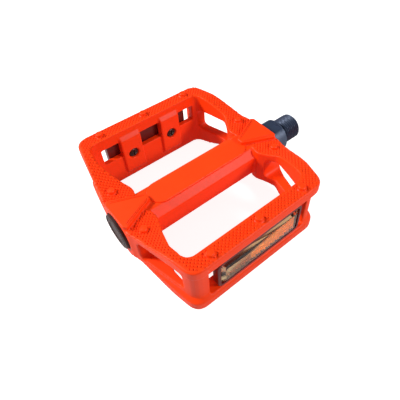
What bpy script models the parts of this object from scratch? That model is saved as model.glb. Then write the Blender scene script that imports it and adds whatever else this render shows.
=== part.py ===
"""Flat bicycle pedal with side reflectors, as an assembly of separate solids.

Blender 4.5, metres, +Z up. +X runs along the spindle towards the crank, and the origin is on the
spindle's axis, in the plane of the shoulder that seats on the crank arm. Pieces are modelled about
the middle of the cage, and an empty carries them to that origin. Run it with
    blender --background --python part.py
"""

import math

import bmesh
import bpy
from mathutils import Matrix, Vector

MM = 0.001
GAP = 0.3 * MM              # clearance between pieces that touch on the real pedal
RUNNING_GAP = 0.15 * MM     # balls to their races
OVER = 3 * MM               # how far a cutter runs past what it cuts

# Cage, seen from above: X along the spindle, Y fore and aft
CAGE_WIDTH = 98 * MM        # front rim to rear rim
CAGE_HEIGHT = 33 * MM       # upper tread face to lower tread face
OUTER_END = 45 * MM         # middle of the cage to the outer boss face
INNER_END = 47 * MM         # middle of the cage to the inboard boss face
OUTER_SET_BACK = 7.5 * MM   # corners behind the outer boss face
INNER_SET_BACK = 10.5 * MM  # corners behind the inboard boss face
INNER_EAR_Y = 22 * MM       # where the inboard edge turns in towards the rims
INNER_EAR_SET_BACK = 3 * MM
CORNER_RADIUS = 7 * MM
EDGE_CHAMFER = 0.6 * MM     # on the outer edge of both treads
RIM_WALL = 8 * MM
END_WALL = 2.0 * MM         # thinnest part of an end plate, next to a corner
PLATE_REACH = 15.5 * MM      # how far an end plate reaches in along the rib
WAIST_DEPTH = 1.7 * MM      # how far the band between the treads is set back
WAIST_SLOPE = 2.2 * MM      # height over which the waist runs out to a tread

# Reflectors and the posts that carry them
REFLECTOR_LENGTH = 50 * MM
REFLECTOR_HEIGHT = 19 * MM
REFLECTOR_CORNER = 3 * MM
SLOT_END_SPACE = 4 * MM     # open space beyond each end of a reflector
SLOT_SIDE_GAP = 0.5 * MM
SLOT_SILL = 0.0 * MM        # foot of the openings behind a reflector, from mid height
BASE_THICKNESS = 2.0 * MM
LENS_THICKNESS = 2.0 * MM
LENS_BORDER = 1.2 * MM      # lens inside the edge of its base
LENS_BEVEL = 1.8 * MM
LENS_SET_BACK = 0.2 * MM    # lens face behind the rim's outer face
POST_SPACING = 24.8 * MM
POST_WIDTH = 12 * MM
POST_TOP = 3.1 * MM         # top of a post below the tread face
POST_SLOPE = 2.6 * MM       # height of the slope on top of a post
POST_PROUD = 1.9 * MM       # how far a post stands in from the rim's inner face
SCREW_HEAD_RADIUS = 2.8 * MM
SCREW_HEAD_HEIGHT = 1.4 * MM
SCREW_HEAD_SINK = 0.2 * MM
SCREW_SHANK_RADIUS = 1.3 * MM
SCREW_GRIP = 1.2 * MM       # how deep the shank goes into the reflector's base
SCREW_CROSS = 0.7 * MM      # width of the driving cross
SCREW_CROSS_DEPTH = 0.8 * MM

# Bearings
BALL_RADIUS = 1.5875 * MM   # 1/8 inch balls
OUTBOARD_BALLS = 11
INBOARD_BALLS = 12
BALL_PITCH_GAP = 0.12 * MM
CUP_WALL = 1.4 * MM
CUP_LENGTH = 6.4 * MM
CUP_LEDGE = 1.75 * MM       # the shoulder that a cup seats on
OUTBOARD_BALL_INSET = 13.5 * MM    # ball row behind the outer boss face
INBOARD_BALL_INSET = 9.0 * MM

# Bosses, end plates and the rib around the spindle
BOSS_WALL = 2.2 * MM        # over and under the inboard cup's seat
BOSS_SIDE = 2.0 * MM        # beside the cap and beside the seal
BOSS_EASE = 2.5 * MM        # width over which a boss face runs into its end plate
PANEL_RISE = 2.2 * MM       # raised panel above the end plate around it
PANEL_REACH = 18 * MM       # how far a raised panel runs in from its boss face
PANEL_TIP = 1.8 * MM        # half width of a raised panel at its tip
PANEL_CORNER = 1.6 * MM
DIP_MARGIN = 1.5 * MM       # level part of an end plate beside the boss
RIB_WALL = 2.2 * MM         # over and under the grease bore
RIB_SIDE = 2.8 * MM         # beside the grease bore
RIB_CHAMFER = 4.0 * MM
RIB_OVERLAP = 4.0 * MM      # length of the rib inside each end plate
RIB_END_BULGE = 2.5 * MM    # arc in the end plate's edge over the rib
END_SLOT_FROM = 15 * MM     # spindle's axis to the near end of an end slot
END_SLOT_ROUND = 3.4 * MM
END_SKIN = 3.1 * MM         # plate over an end slot, at its lowest
END_SLOT_STOP = 1.2 * MM    # far end of an end slot inside the rim

# Moulded grip pins
PIN_RADIUS = 1.9 * MM
PIN_TIP_RADIUS = 1.45 * MM
PIN_HEIGHT = 1.8 * MM
PIN_ROOT = 1.0 * MM         # how deep a pin's body is sunk in the tread
RIM_PIN_SPACING = 26 * MM
END_PIN_Y = 14 * MM
END_PIN_INSET = 6.8 * MM    # from the boss faces

# Spindle
AXLE_THREAD_RADIUS = 3.5 * MM
AXLE_THREAD_LENGTH = 17.5 * MM
AXLE_THREAD_INSET = 3.0 * MM       # end of the axle behind the outer boss face
AXLE_SMALL_RADIUS = 4.0 * MM
AXLE_NECK_RADIUS = 6.8 * MM        # under the seal
AXLE_TAPER = 6 * MM                # from the taper's end to the inboard ball row
COLLAR_RADIUS = 9.0 * MM
COLLAR_LENGTH = 8.5 * MM
COLLAR_GAP = 1.6 * MM       # boss face to collar
WRENCH_WIDTH = 15 * MM
WRENCH_LAND = 1.0 * MM      # round part of the collar on each side of the flats
CRANK_THREAD_RADIUS = 7.144 * MM   # 9/16 inch, 20 threads per inch
CRANK_THREAD_LENGTH = 12.5 * MM
THREAD_CHAMFER = 1.2 * MM
SMALL_CHAMFER = 0.5 * MM

# Seal, cone, washer, nut and cap
SEAL_LIP_GAP = 0.6 * MM     # lip to the spindle's neck
SEAL_THICKNESS = 2.0 * MM
SEAL_INSET = 0.4 * MM       # behind the inboard boss face
CONE_LENGTH = 5.5 * MM
WASHER_THICKNESS = 1.0 * MM
WASHER_WIDTH = 1.8 * MM
NUT_THICKNESS = 2.6 * MM
NUT_WIDTH = 11 * MM
CAP_STEP = 0.45 * MM        # cap's radius over the outboard cup's
CAP_SKIRT = 1.4 * MM
CAP_DEPTH = 5.2 * MM
CAP_FLOOR = 2.2 * MM
CAP_PROUD = 1.0 * MM        # edge of the cap's face outside the boss face
CAP_DOME = 0.4 * MM
CAP_END_GAP = 0.4 * MM

ROUND_STEPS = 32
ARC_STEPS = 5

# Worked out from the values above
HALF_WIDTH = CAGE_WIDTH / 2
HALF_HEIGHT = CAGE_HEIGHT / 2
OUTER_CORNER = OUTER_END - OUTER_SET_BACK
INNER_CORNER = INNER_END - INNER_SET_BACK
RIM_INNER = HALF_WIDTH - RIM_WALL
BASE_BACK = HALF_WIDTH - LENS_SET_BACK - LENS_THICKNESS - GAP - BASE_THICKNESS
POCKET_BACK = BASE_BACK - GAP
RIM_SLOT_HALF_LENGTH = REFLECTOR_LENGTH / 2 + SLOT_END_SPACE
RIM_SLOT_HALF_HEIGHT = REFLECTOR_HEIGHT / 2 + SLOT_SIDE_GAP
POST_FACE = RIM_INNER - POST_PROUD
POST_HALF_HEIGHT = HALF_HEIGHT - POST_TOP
HEAD_SEAT = POST_FACE + SCREW_HEAD_SINK + SCREW_HEAD_HEIGHT
OUTBOARD_BALL_X = -(OUTER_END - OUTBOARD_BALL_INSET)
INBOARD_BALL_X = INNER_END - INBOARD_BALL_INSET
OUTBOARD_PITCH = OUTBOARD_BALLS * (2 * BALL_RADIUS + BALL_PITCH_GAP) / (2 * math.pi)
INBOARD_PITCH = INBOARD_BALLS * (2 * BALL_RADIUS + BALL_PITCH_GAP) / (2 * math.pi)
OUTBOARD_CUP_RADIUS = OUTBOARD_PITCH + BALL_RADIUS + CUP_WALL
INBOARD_CUP_RADIUS = INBOARD_PITCH + BALL_RADIUS + CUP_WALL
RACE_RADIUS = BALL_RADIUS + RUNNING_GAP
GREASE_BORE = OUTBOARD_CUP_RADIUS - CUP_LEDGE
CAP_RADIUS = OUTBOARD_CUP_RADIUS + CAP_STEP
OUTER_BOSS_SIDE = CAP_RADIUS + GAP + BOSS_SIDE
INNER_BOSS_SIDE = INBOARD_CUP_RADIUS + GAP + BOSS_SIDE
BOSS_HEIGHT = INBOARD_CUP_RADIUS + GAP + BOSS_WALL
DIP_HEIGHT = BOSS_HEIGHT - PANEL_RISE
DIP_START = INBOARD_CUP_RADIUS + DIP_MARGIN
DIP_STOP = RIM_INNER - 1.0 * MM
RIB_HALF_HEIGHT = GREASE_BORE + RIB_WALL
RIB_HALF_WIDTH = GREASE_BORE + RIB_SIDE
END_SLOT_HALF_HEIGHT = DIP_HEIGHT - END_SKIN
SHOULDER_X = INNER_END + COLLAR_GAP + COLLAR_LENGTH
SEAL_LIP = AXLE_NECK_RADIUS + SEAL_LIP_GAP


# ---------------------------------------------------------------- helpers

def clear_scene():
    for obj in list(bpy.data.objects):
        bpy.data.objects.remove(obj, do_unlink=True)


def material(name, colour, roughness, metallic=0.0):
    mat = bpy.data.materials.new(name)
    mat.use_nodes = True
    shader = mat.node_tree.nodes["Principled BSDF"]
    shader.inputs["Base Color"].default_value = (*colour, 1.0)
    shader.inputs["Roughness"].default_value = roughness
    shader.inputs["Metallic"].default_value = metallic
    return mat


def finished(name, bm, mat=None, smooth=False):
    """Writes a bmesh to a new object that stands in the cage's frame."""
    bmesh.ops.remove_doubles(bm, verts=bm.verts, dist=1e-7)
    bmesh.ops.recalc_face_normals(bm, faces=bm.faces)
    mesh = bpy.data.meshes.new(name)
    bm.to_mesh(mesh)
    bm.free()
    if smooth:
        mesh.shade_smooth()
        mesh.set_sharp_from_angle(angle=math.radians(35))
    obj = bpy.data.objects.new(name, mesh)
    bpy.context.scene.collection.objects.link(obj)
    obj.parent = FRAME
    if mat:
        mesh.materials.append(mat)
    return obj


def prism_into(bm, outline, low, high):
    """Adds an outline, extruded along Z from low to high, as a closed body."""
    face = bm.faces.new([bm.verts.new((x, y, low)) for x, y in outline])
    extruded = bmesh.ops.extrude_face_region(bm, geom=[face])["geom"]
    moved = [v for v in extruded if isinstance(v, bmesh.types.BMVert)]
    bmesh.ops.translate(bm, verts=moved, vec=(0, 0, high - low))
    return moved


def prism(name, outline, low, high, mat=None):
    bm = bmesh.new()
    prism_into(bm, outline, low, high)
    return finished(name, bm, mat)


def box_into(bm, low, high):
    size = Vector(high) - Vector(low)
    middle = (Vector(high) + Vector(low)) / 2
    place = Matrix.Translation(middle) @ Matrix.Diagonal((*size, 1))
    bmesh.ops.create_cube(bm, size=1, matrix=place)


def turned(name, profile, mat=None, steps=ROUND_STEPS):
    """Spins a closed loop of (x, radius) points about the X axis."""
    bm = bmesh.new()
    verts = [bm.verts.new((x, 0, r)) for x, r in profile]
    edges = [bm.edges.new((a, b)) for a, b in zip(verts, verts[1:] + verts[:1])]
    bmesh.ops.spin(bm, geom=verts + edges, cent=(0, 0, 0), axis=(1, 0, 0),
                   angle=2 * math.pi, steps=steps, use_merge=True)
    bmesh.ops.remove_doubles(bm, verts=bm.verts, dist=1e-7)
    bmesh.ops.dissolve_degenerate(bm, edges=bm.edges, dist=1e-7)
    return finished(name, bm, mat, smooth=True)


def solid_profile(points):
    """Closes a shaft's outline, given from left to right, along the axis."""
    return [(points[0][0], 0.0), *points, (points[-1][0], 0.0)]


def rounded_corner(before, corner, after, radius, steps=ARC_STEPS):
    """Points of the curve that rounds one corner, as wide as its sides allow."""
    p = Vector(corner)
    back = Vector(before) - p
    ahead = Vector(after) - p
    reach = radius / math.tan(back.angle(ahead) / 2)
    reach = min(reach, 0.45 * back.length, 0.45 * ahead.length)
    a = p + back.normalized() * reach
    b = p + ahead.normalized() * reach
    return [tuple(a * (1 - t) ** 2 + p * 2 * t * (1 - t) + b * t ** 2)
            for t in (step / steps for step in range(steps + 1))]


def rounded(outline, radius):
    """Rounds every corner of a closed outline."""
    result = []
    for i, corner in enumerate(outline):
        result += rounded_corner(outline[i - 1], corner, outline[(i + 1) % len(outline)], radius)
    return result


def mirrored(half):
    """Closes an outline given for y > 0 by its mirror image in the X axis."""
    return half + [(x, -y) for x, y in reversed(half)]


def boolean(obj, tool, operation="DIFFERENCE"):
    tool.hide_render = True
    tool.display_type = "WIRE"
    mod = obj.modifiers.new(tool.name, "BOOLEAN")
    mod.operation = operation
    mod.solver = "EXACT"
    mod.object = tool
    return mod


# ---------------------------------------------------------------- cage

def cage_outline(inset):
    """The cage from above, with its rims and end plates set in by an inset."""
    boss_in = inset * 0.5
    half = [
        (-OUTER_END, OUTER_BOSS_SIDE - boss_in),
        (-OUTER_END + BOSS_EASE * 0.4, OUTER_BOSS_SIDE + BOSS_EASE - boss_in),
        (-OUTER_CORNER + inset, HALF_WIDTH - inset),
        (INNER_CORNER - inset, HALF_WIDTH - inset),
        (INNER_END - INNER_EAR_SET_BACK - inset, INNER_EAR_Y),
        (INNER_END - BOSS_EASE * 0.3, INNER_BOSS_SIDE + BOSS_EASE - boss_in),
        (INNER_END, INNER_BOSS_SIDE - boss_in),
    ]
    radii = (0, 3 * MM, CORNER_RADIUS, CORNER_RADIUS, 6 * MM, 3 * MM, 0)
    points = []
    for i, radius in enumerate(radii):
        if radius:
            points += rounded_corner(half[i - 1], half[i], half[i + 1], radius)
        else:
            points.append(half[i])
    return mirrored(points)


def lofted(name, levels, mat):
    """A closed body through outlines with equal counts, given as (z, outline)."""
    bm = bmesh.new()
    rings = [[bm.verts.new((x, y, z)) for x, y in outline] for z, outline in levels]
    bm.faces.new(rings[0])
    bm.faces.new(rings[-1])
    for low, high in zip(rings, rings[1:]):
        for i in range(len(low)):
            j = (i + 1) % len(low)
            bm.faces.new((low[i], low[j], high[j], high[i]))
    return finished(name, bm, mat)


def cage_blank(mat):
    """The cage before it is cut: two treads with chamfered edges and a set-back waist."""
    waist = RIM_SLOT_HALF_HEIGHT - WAIST_SLOPE / 2
    tread = RIM_SLOT_HALF_HEIGHT + WAIST_SLOPE / 2
    steps = [(HALF_HEIGHT, EDGE_CHAMFER), (HALF_HEIGHT - EDGE_CHAMFER, 0.0), (tread, 0.0),
             (waist, WAIST_DEPTH)]
    levels = [(-z, cage_outline(inset)) for z, inset in steps]
    levels += [(z, cage_outline(inset)) for z, inset in reversed(steps)]
    return lofted("pedal_body", levels, mat)


def window_outline():
    """The one opening inside the cage; the rib is put back across it."""
    outer = -OUTER_CORNER + END_WALL
    inner = INNER_CORNER - END_WALL
    plate_outer = -(OUTER_END - PLATE_REACH)
    plate_inner = INNER_END - PLATE_REACH
    beside_rib = RIB_HALF_WIDTH + 1.5 * MM
    flare, belly = RIM_INNER - 20 * MM, RIM_INNER - 11 * MM
    half = [
        (plate_outer - RIB_END_BULGE, 2 * MM),
        (plate_outer, RIB_HALF_WIDTH - 1 * MM),
        (plate_outer, beside_rib),
        (outer + 2.5 * MM, flare),
        (outer, belly),
        (outer + 0.5 * MM, RIM_INNER),
        (inner - 3 * MM, RIM_INNER),
        (inner, belly),
        (inner + 2 * MM, flare),
        (plate_inner, beside_rib),
        (plate_inner, RIB_HALF_WIDTH - 1 * MM),
        (plate_inner + RIB_END_BULGE, 2 * MM),
    ]
    return rounded(mirrored(half), 5 * MM)


def dip(y):
    """Height of an end plate's tread face at a distance y from the axis."""
    t = (abs(y) - DIP_START) / (DIP_STOP - DIP_START)
    t = min(max(t, 0.0), 1.0)
    return DIP_HEIGHT + (HALF_HEIGHT - DIP_HEIGHT) * (1 - math.cos(math.pi * t)) / 2


def along_x(bm, section, start, stop):
    """Adds a closed (y, z) section, extruded along X."""
    face = bm.faces.new([bm.verts.new((start, y, z)) for y, z in section])
    new = bmesh.ops.extrude_face_region(bm, geom=[face])["geom"]
    moved = [v for v in new if isinstance(v, bmesh.types.BMVert)]
    bmesh.ops.translate(bm, verts=moved, vec=(stop - start, 0, 0))


def dip_tool():
    """Hollows both tread faces of the end plates between the boss and the rims."""
    steps = 12
    side = [DIP_START + (DIP_STOP - DIP_START) * i / steps for i in range(steps)]
    curve = [(y, dip(y)) for y in side] + [(DIP_STOP, HALF_HEIGHT + 0.01 * MM)]
    above = HALF_HEIGHT + OVER
    loop = [(-y, z) for y, z in reversed(curve)] + curve + [(DIP_STOP, above), (-DIP_STOP, above)]
    bm = bmesh.new()
    for sign in (1, -1):
        section = [(y, sign * z) for y, z in loop]
        along_x(bm, section, -OUTER_END - OVER, INNER_END + OVER)
    return finished("dip_tool", bm)


def panel_tool():
    """Raised flat panels on both faces of both bosses, each tapering towards the rib."""
    bm = bmesh.new()
    for side, end, boss in ((-1, OUTER_END, OUTER_BOSS_SIDE), (1, INNER_END, INNER_BOSS_SIDE)):
        root = end - PANEL_REACH
        base = boss - BOSS_SIDE
        face = end - 0.02 * MM
        half = [(side * root, PANEL_TIP), (side * (face - PANEL_CORNER), base),
                (side * face, base - PANEL_CORNER)]
        prism_into(bm, mirrored(half), -BOSS_HEIGHT, BOSS_HEIGHT)
    return finished("panel_tool", bm)


def rib_tool():
    """Eight-sided rib from one end plate to the other."""
    w, h, c = RIB_HALF_WIDTH, RIB_HALF_HEIGHT, RIB_CHAMFER
    section = [(w, h - c), (w - c, h), (c - w, h), (-w, h - c),
               (-w, c - h), (c - w, -h), (w - c, -h), (w, c - h)]
    bm = bmesh.new()
    reach = PLATE_REACH - RIB_OVERLAP
    along_x(bm, section, reach - OUTER_END, INNER_END - reach)
    return finished("rib_tool", bm)


def post_tool():
    """Posts that stand in from the rims and carry the reflectors, sloped at both ends."""
    bm = bmesh.new()
    inside = RIM_INNER + 1 * MM
    for y_side in (-1, 1):
        half = [(y_side * inside, POST_HALF_HEIGHT), (y_side * RIM_INNER, POST_HALF_HEIGHT),
                (y_side * POST_FACE, POST_HALF_HEIGHT - POST_SLOPE)]
        section = half + [(y, -z) for y, z in reversed(half)]
        for x_side in (-1, 1):
            x = x_side * POST_SPACING / 2
            along_x(bm, section, x - POST_WIDTH / 2, x + POST_WIDTH / 2)
    return finished("post_tool", bm)


def slot_tool():
    """Openings through a rim's inner wall beside the posts, on one half of its height.

    The two rims have them on opposite halves, so the pedal is the same either way up.
    """
    bm = bmesh.new()
    post_in = (POST_SPACING - POST_WIDTH) / 2
    post_out = (POST_SPACING + POST_WIDTH) / 2
    spans = ((-RIM_SLOT_HALF_LENGTH, -post_out), (-post_in, post_in),
             (post_out, RIM_SLOT_HALF_LENGTH))
    for side in (-1, 1):
        y0, y1 = sorted((side * (RIM_INNER - OVER), side * (POCKET_BACK + 0.5 * MM)))
        z0, z1 = sorted((side * SLOT_SILL, side * RIM_SLOT_HALF_HEIGHT))
        for low, high in spans:
            box_into(bm, (low, y0, z0), (high, y1, z1))
    return finished("slot_tool", bm)


def pocket_tool():
    """The outer half of each rim slot, one long pocket that holds a reflector."""
    bm = bmesh.new()
    for side in (-1, 1):
        y0, y1 = sorted((side * POCKET_BACK, side * (HALF_WIDTH + OVER)))
        box_into(bm, (-RIM_SLOT_HALF_LENGTH, y0, -RIM_SLOT_HALF_HEIGHT),
                 (RIM_SLOT_HALF_LENGTH, y1, RIM_SLOT_HALF_HEIGHT))
    return finished("pocket_tool", bm)


def end_slot_tool():
    """Four slots with round ends, through the end plates between the boss and each rim."""
    bm = bmesh.new()
    tall = END_SLOT_HALF_HEIGHT
    stop = RIM_INNER - END_SLOT_STOP
    back = PLATE_REACH + 2.5 * MM
    for y_side in (-1, 1):
        near, far = y_side * END_SLOT_FROM, y_side * stop
        section = rounded([(near, -tall), (far, -tall), (far, tall), (near, tall)],
                          END_SLOT_ROUND)
        along_x(bm, section, -OUTER_END - OVER, back - OUTER_END)
        along_x(bm, section, INNER_END - back, INNER_END + OVER)
    return finished("end_slot_tool", bm)


def bore_tool():
    """Grease bore, the two cup seats, the cap's recess and the seal's recess."""
    cap_seat = CAP_RADIUS + GAP
    out_seat = OUTBOARD_CUP_RADIUS + GAP
    in_seat = INBOARD_CUP_RADIUS + GAP
    out_step = -(OUTER_END - CAP_DEPTH - CAP_END_GAP)
    out_back = OUTBOARD_BALL_X + CUP_LENGTH / 2 + GAP
    in_back = INBOARD_BALL_X - CUP_LENGTH / 2 - GAP
    return turned("bore_tool", solid_profile([
        (-OUTER_END - OVER, cap_seat), (out_step, cap_seat), (out_step, out_seat),
        (out_back, out_seat), (out_back, GREASE_BORE), (in_back, GREASE_BORE),
        (in_back, in_seat), (INNER_END + OVER, in_seat)]))


def rod_into(bm, x, y_side, radius, y0, y1, segments=16):
    """Adds a round rod along Y, between two distances from the XZ plane."""
    middle = Vector((x, y_side * (y0 + y1) / 2, 0))
    place = Matrix.Translation(middle) @ Matrix.Rotation(math.pi / 2, 4, "X")
    bmesh.ops.create_cone(bm, cap_ends=True, segments=segments, radius1=radius, radius2=radius,
                          depth=y1 - y0, matrix=place)


def post_holes(name, radius, y0, y1):
    """One round hole through each of the four posts."""
    bm = bmesh.new()
    for y_side in (-1, 1):
        for x_side in (-1, 1):
            rod_into(bm, x_side * POST_SPACING / 2, y_side, radius, y0, y1)
    return finished(name, bm)


def pin_places():
    """Places of the grip pins on the upper tread, as (x, y, height of the tread)."""
    rim_y = (HALF_WIDTH + RIM_INNER) / 2
    for y in (-rim_y, rim_y):
        for step in (-1, 0, 1):
            yield step * RIM_PIN_SPACING, y, HALF_HEIGHT
    for y in (-END_PIN_Y, END_PIN_Y):
        yield -OUTER_END + END_PIN_INSET, y, dip(y)
        yield INNER_END - END_PIN_INSET, y, dip(y)


def pin_tool():
    """The pins of both treads, tapered, with their roots sunk in the tread."""
    bm = bmesh.new()
    for x, y, z in pin_places():
        for sign in (1, -1):
            radii = (PIN_RADIUS, PIN_TIP_RADIUS)[::sign]
            middle = Vector((x, y, sign * (z + (PIN_HEIGHT - PIN_ROOT) / 2)))
            bmesh.ops.create_cone(bm, cap_ends=True, segments=12, radius1=radii[0],
                                  radius2=radii[1], depth=PIN_HEIGHT + PIN_ROOT,
                                  matrix=Matrix.Translation(middle))
    return finished("pin_tool", bm)


def make_cage(mat):
    body = cage_blank(mat)
    boolean(body, prism("window_tool", window_outline(), -HALF_HEIGHT - OVER,
                        HALF_HEIGHT + OVER))
    boolean(body, dip_tool())
    boolean(body, rib_tool(), "UNION")
    boolean(body, panel_tool(), "UNION")
    boolean(body, end_slot_tool())
    boolean(body, post_tool(), "UNION")
    boolean(body, slot_tool())
    boolean(body, pocket_tool())
    boolean(body, bore_tool())
    boolean(body, post_holes("head_tool", SCREW_HEAD_RADIUS + GAP, POST_FACE - OVER, HEAD_SEAT))
    boolean(body, post_holes("shank_tool", SCREW_SHANK_RADIUS + GAP, HEAD_SEAT - OVER,
                             POCKET_BACK + OVER))
    boolean(body, pin_tool(), "UNION")


# ---------------------------------------------------------------- spindle and bearings

def race_arc(ball_x, pitch, start, stop, steps=6):
    """Points of a race in section: an arc about a ball's centre, angles from +X to outward."""
    points = []
    for i in range(steps + 1):
        angle = math.radians(start + (stop - start) * i / steps)
        points.append((ball_x + RACE_RADIUS * math.cos(angle),
                       pitch + RACE_RADIUS * math.sin(angle)))
    return points


def make_spindle(mat):
    """The axle, with the inboard cone ground on it; both its threads are left plain."""
    axle_end = AXLE_THREAD_INSET - OUTER_END
    thread_stop = axle_end + AXLE_THREAD_LENGTH
    collar = INNER_END + COLLAR_GAP
    end = SHOULDER_X + CRANK_THREAD_LENGTH
    ease = SMALL_CHAMFER
    cone_race = race_arc(INBOARD_BALL_X, INBOARD_PITCH, 262, 342)
    profile = solid_profile([
        (axle_end, AXLE_THREAD_RADIUS - ease),
        (axle_end + ease, AXLE_THREAD_RADIUS),
        (thread_stop, AXLE_THREAD_RADIUS),
        (thread_stop + ease, AXLE_SMALL_RADIUS),
        (INBOARD_BALL_X - AXLE_TAPER, cone_race[0][1] - 0.2 * MM),
        *cone_race,
        (INBOARD_BALL_X + RACE_RADIUS + 1.2 * MM, AXLE_NECK_RADIUS),
        (collar - ease, AXLE_NECK_RADIUS),
        (collar, COLLAR_RADIUS - ease),
        (collar + ease, COLLAR_RADIUS),
        (SHOULDER_X - ease, COLLAR_RADIUS),
        (SHOULDER_X, COLLAR_RADIUS - ease),
        (SHOULDER_X, CRANK_THREAD_RADIUS),
        (end - THREAD_CHAMFER, CRANK_THREAD_RADIUS),
        (end, CRANK_THREAD_RADIUS - THREAD_CHAMFER),
    ])
    spindle = turned("spindle", profile, mat)
    bm = bmesh.new()
    reach = COLLAR_RADIUS + OVER
    for side in (-1, 1):
        z0, z1 = sorted((side * WRENCH_WIDTH / 2, side * reach))
        box_into(bm, (collar + WRENCH_LAND, -reach, z0), (SHOULDER_X - WRENCH_LAND, reach, z1))
    boolean(spindle, finished("wrench_flat_tool", bm))


def make_cup(name, ball_x, pitch, outer, towards, mat):
    """A pressed cup; its race faces the pedal's end (towards is -1 or 1)."""
    arc = [(ball_x + towards * (x - ball_x), r)
           for x, r in race_arc(ball_x, pitch, 88, 192)]
    mouth = ball_x + towards * CUP_LENGTH / 2
    back = ball_x - towards * CUP_LENGTH / 2
    throat = arc[-1][1]
    profile = [(mouth, arc[0][1]), *arc, (back, throat), (back, outer), (mouth, outer)]
    turned(name, profile, mat)


def make_cone(mat):
    """The adjustable cone that closes the outboard bearing, threaded on the axle."""
    arc = [(2 * OUTBOARD_BALL_X - x, r)
           for x, r in race_arc(OUTBOARD_BALL_X, OUTBOARD_PITCH, 290, 345)]
    inner = AXLE_THREAD_RADIUS + GAP
    tail = OUTBOARD_BALL_X - CONE_LENGTH
    profile = [(arc[0][0], inner), *arc, (tail, arc[-1][1]), (tail, inner)]
    turned("outboard_cone", profile, mat)
    return tail


def make_balls(name, count, ball_x, pitch, mat):
    """One row of loose balls, each with its origin on the spindle's axis."""
    bm = bmesh.new()
    bmesh.ops.create_icosphere(bm, subdivisions=2, radius=BALL_RADIUS)
    bmesh.ops.translate(bm, verts=bm.verts, vec=(ball_x, 0, pitch))
    first = finished(f"{name}_01", bm, mat, smooth=True)
    for i in range(1, count):
        ball = bpy.data.objects.new(f"{name}_{i + 1:02d}", first.data)
        ball.rotation_euler.x = 2 * math.pi * i / count
        ball.parent = FRAME
        bpy.context.scene.collection.objects.link(ball)


def make_washer(start, mat):
    inner = AXLE_THREAD_RADIUS + GAP
    outer = inner + WASHER_WIDTH
    stop = start - WASHER_THICKNESS
    turned("lock_washer", [(start, inner), (start, outer), (stop, outer), (stop, inner)], mat)
    return stop


def make_nut(start, mat):
    """Hexagon lock nut with a plain bore."""
    inner = AXLE_THREAD_RADIUS + GAP
    stop = start - NUT_THICKNESS
    corner = NUT_WIDTH / 2 / math.cos(math.pi / 6)
    bm = bmesh.new()
    hexagon = [(corner * math.cos(math.pi / 3 * i), corner * math.sin(math.pi / 3 * i))
               for i in range(6)]
    along_x(bm, hexagon, stop, start)
    nut = finished("lock_nut", bm, mat)
    boolean(nut, turned("nut_bore_tool", solid_profile([(stop - OVER, inner),
                                                        (start + OVER, inner)])))


def make_seal(mat):
    """Lip seal in the inboard cup's seat, just inside the boss face."""
    stop = INNER_END - SEAL_INSET
    start = stop - SEAL_THICKNESS
    lip = SEAL_LIP
    turned("inner_dust_seal", [
        (start, lip + 0.6 * MM), (start, INBOARD_CUP_RADIUS), (stop, INBOARD_CUP_RADIUS),
        (stop, lip + 0.2 * MM), (stop - 0.7 * MM, lip)], mat)


def make_cap(mat):
    """Dust cap: a shallow cup with a domed face, pushed into the outer boss."""
    edge = -OUTER_END - CAP_PROUD
    skirt = -OUTER_END + CAP_DEPTH
    floor = -OUTER_END + CAP_FLOOR
    inner = CAP_RADIUS - CAP_SKIRT
    face = CAP_RADIUS - SMALL_CHAMFER
    dome = [(edge - CAP_DOME * (1 - t * t), face * t) for t in (0.0, 0.35, 0.7, 1.0)]
    turned("end_cap", [*dome, (edge + SMALL_CHAMFER, CAP_RADIUS), (skirt, CAP_RADIUS),
                       (skirt, inner), (floor, inner), (floor, 0.0)], mat)


# ---------------------------------------------------------------- reflectors

def reflector_outline(shrink=0.0):
    """Long eight-sided plate in X and Z, with its corners cut."""
    half = REFLECTOR_LENGTH / 2 - shrink
    tall = REFLECTOR_HEIGHT / 2 - shrink
    cut = REFLECTOR_CORNER
    return [(half, tall - cut), (half - cut, tall), (cut - half, tall), (-half, tall - cut),
            (-half, cut - tall), (cut - half, -tall), (half - cut, -tall), (half, cut - tall)]


def plate_into(bm, outline, front, y0, y1):
    """Adds a plate between the outlines at y0 and y1; front is the outline at y1."""
    back_loop = [bm.verts.new((x, y0, z)) for x, z in outline]
    front_loop = [bm.verts.new((x, y1, z)) for x, z in front]
    bm.faces.new(back_loop)
    bm.faces.new(front_loop)
    for i in range(len(outline)):
        j = (i + 1) % len(outline)
        bm.faces.new((back_loop[i], back_loop[j], front_loop[j], front_loop[i]))


def make_reflector(name, side, base_mat, lens_mat, screw_mat):
    """A dark base with two pilot holes, the lens in front of it, and its two screws."""
    bm = bmesh.new()
    plate_into(bm, reflector_outline(), reflector_outline(), side * BASE_BACK,
               side * (BASE_BACK + BASE_THICKNESS))
    base = finished(f"{name}_reflector_base", bm, base_mat)
    bm = bmesh.new()
    for x_side in (-1, 1):
        rod_into(bm, x_side * POST_SPACING / 2, side, SCREW_SHANK_RADIUS + GAP,
                 BASE_BACK - OVER, BASE_BACK + SCREW_GRIP + GAP)
    boolean(base, finished(f"{name}_pilot_tool", bm))
    bm = bmesh.new()
    lens_back = BASE_BACK + BASE_THICKNESS + GAP
    plate_into(bm, reflector_outline(LENS_BORDER), reflector_outline(LENS_BORDER + LENS_BEVEL),
               side * lens_back, side * (lens_back + LENS_THICKNESS))
    finished(f"{name}_reflector_lens", bm, lens_mat)
    for x_side, place_name in ((-1, "outer"), (1, "inner")):
        make_screw(f"{name}_{place_name}_screw", x_side * POST_SPACING / 2, side, screw_mat)


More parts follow.
